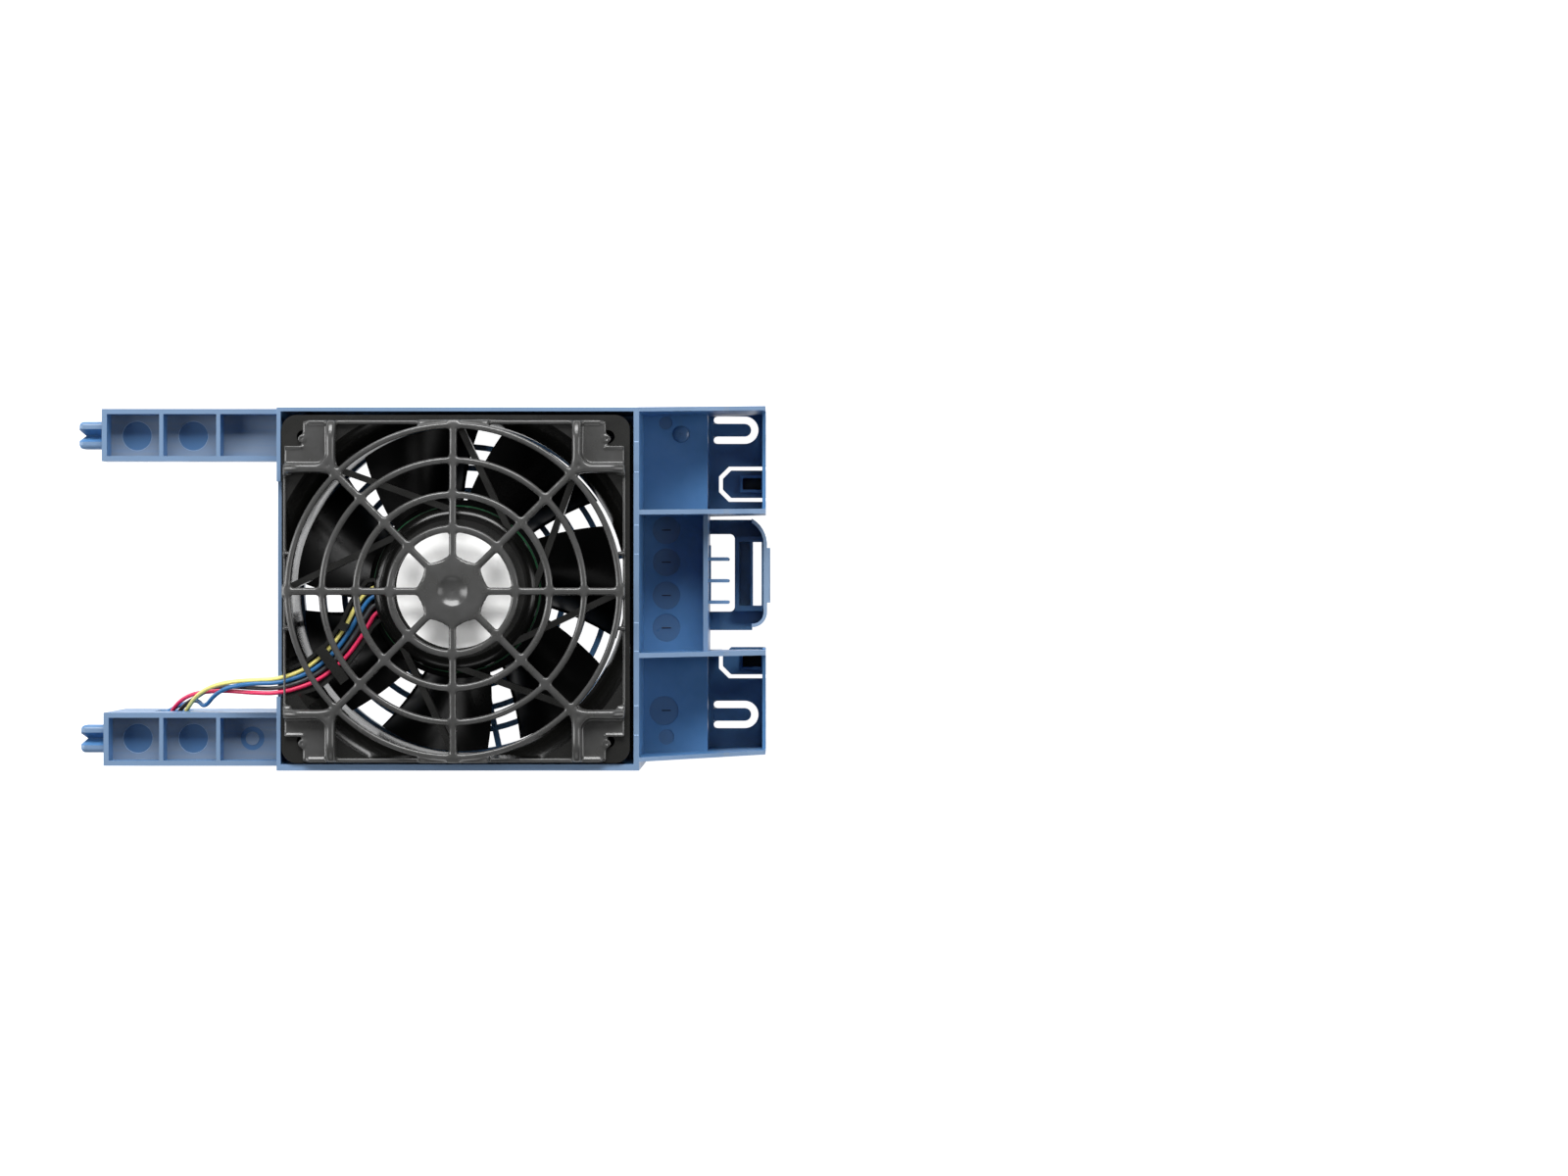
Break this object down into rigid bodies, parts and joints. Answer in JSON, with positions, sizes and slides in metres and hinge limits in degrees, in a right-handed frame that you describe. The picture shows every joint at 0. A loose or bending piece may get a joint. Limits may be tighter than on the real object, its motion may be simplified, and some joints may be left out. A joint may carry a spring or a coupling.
{
  "type": "server fan module",
  "caption": "Snap-in server fan module: a moulded carrier with two arms and a latch tray holds an axial fan behind a domed finger guard.",
  "frame": {"origin": "middle of the overall box, on the plane that the module's back rests on", "axes": "+X from the arms' tips towards the latch tray, +Y towards the upper arm, +Z from the back to the finger guard, along the fan's axis"},
  "size_m": [0.2408, 0.1272, 0.0752],
  "materials": {
    "blue_plastic": "satin moulded",
    "black_housing": "moulded",
    "black_guard": "fine grain",
    "black_blades": "glossy",
    "steel": "turned",
    "laminated_steel": "stamped",
    "ferrite": "sintered",
    "brass": "turned",
    "copper": "enamelled",
    "white_nylon": "moulded",
    "green_board": "solder mask",
    "black_component": "moulded",
    "white_label": "coated",
    "wire_yellow": "extruded",
    "wire_blue": "extruded",
    "wire_grey": "extruded",
    "wire_red": "extruded"
  },
  "bodies": {
    "carrier": {"carrier_frame": "blue_plastic", "fan_housing": "black_housing", "finger_guard": "black_guard", "bearing_tube": "brass", "bearing_front": "steel", "bearing_rear": "steel", "preload_spring": "steel", "stator_core": "laminated_steel", "stator_insulators": "white_nylon", "stator_coils": "copper", "circuit_board": "green_board", "board_components": "black_component", "motor_label": "white_label", "connector_housing": "white_nylon", "connector_contacts": "brass", "wire_yellow": "wire_yellow", "wire_blue": "wire_blue", "wire_grey": "wire_grey", "wire_red": "wire_red"},
    "rotor": {"impeller": "black_blades", "rotor_yoke": "steel", "rotor_magnet": "ferrite", "rotor_shaft": "steel", "retaining_ring": "steel"},
    "release_lever": {"release_lever": "blue_plastic"},
    "latch_finger_upper": {"latch_finger_upper": "blue_plastic"},
    "latch_finger_lower": {"latch_finger_lower": "blue_plastic"},
    "floor_spring_upper": {"floor_spring_upper": "blue_plastic"},
    "floor_spring_lower": {"floor_spring_lower": "blue_plastic"},
    "wall_spring_upper": {"wall_spring_upper": "blue_plastic"},
    "wall_spring_lower": {"wall_spring_lower": "blue_plastic"}
  },
  "joints": [
    {"name": "impeller_spin", "type": "hinge", "parent": "carrier", "child": "rotor", "pos_m": [0.0121, -0.00085, 0.044], "axis": [0, 0, 1], "continuous": true},
    {"name": "release_lever_press", "type": "hinge", "parent": "carrier", "child": "release_lever", "pos_m": [0.1021, 0.00415, 0.0015], "axis": [0, -1, 0], "range_deg": [0, 8], "stiffness_Nm_per_rad": 1.2},
    {"name": "latch_finger_upper_press", "type": "hinge", "parent": "carrier", "child": "latch_finger_upper", "pos_m": [0.1176, 0.037, 0.0215], "axis": [0, 1, 0], "range_deg": [0, 3], "stiffness_Nm_per_rad": 0.8},
    {"name": "latch_finger_lower_press", "type": "hinge", "parent": "carrier", "child": "latch_finger_lower", "pos_m": [0.1176, -0.0268, 0.0215], "axis": [0, 1, 0], "range_deg": [0, 3], "stiffness_Nm_per_rad": 0.8},
    {"name": "floor_spring_upper_bend", "type": "hinge", "parent": "carrier", "child": "floor_spring_upper", "pos_m": [0.0998, 0.05655, 0.0015], "axis": [0, -1, 0], "range_deg": [0, 8], "stiffness_Nm_per_rad": 0.3},
    {"name": "floor_spring_lower_bend", "type": "hinge", "parent": "carrier", "child": "floor_spring_lower", "pos_m": [0.0998, -0.04625, 0.0015], "axis": [0, -1, 0], "range_deg": [0, 8], "stiffness_Nm_per_rad": 0.3},
    {"name": "wall_spring_upper_bend", "type": "hinge", "parent": "carrier", "child": "wall_spring_upper", "pos_m": [0.1176, 0.05655, 0.021], "axis": [0, 1, 0], "range_deg": [0, 8], "stiffness_Nm_per_rad": 0.3},
    {"name": "wall_spring_lower_bend", "type": "hinge", "parent": "carrier", "child": "wall_spring_lower", "pos_m": [0.1176, -0.04625, 0.021], "axis": [0, 1, 0], "range_deg": [0, 8], "stiffness_Nm_per_rad": 0.3}
  ]
}
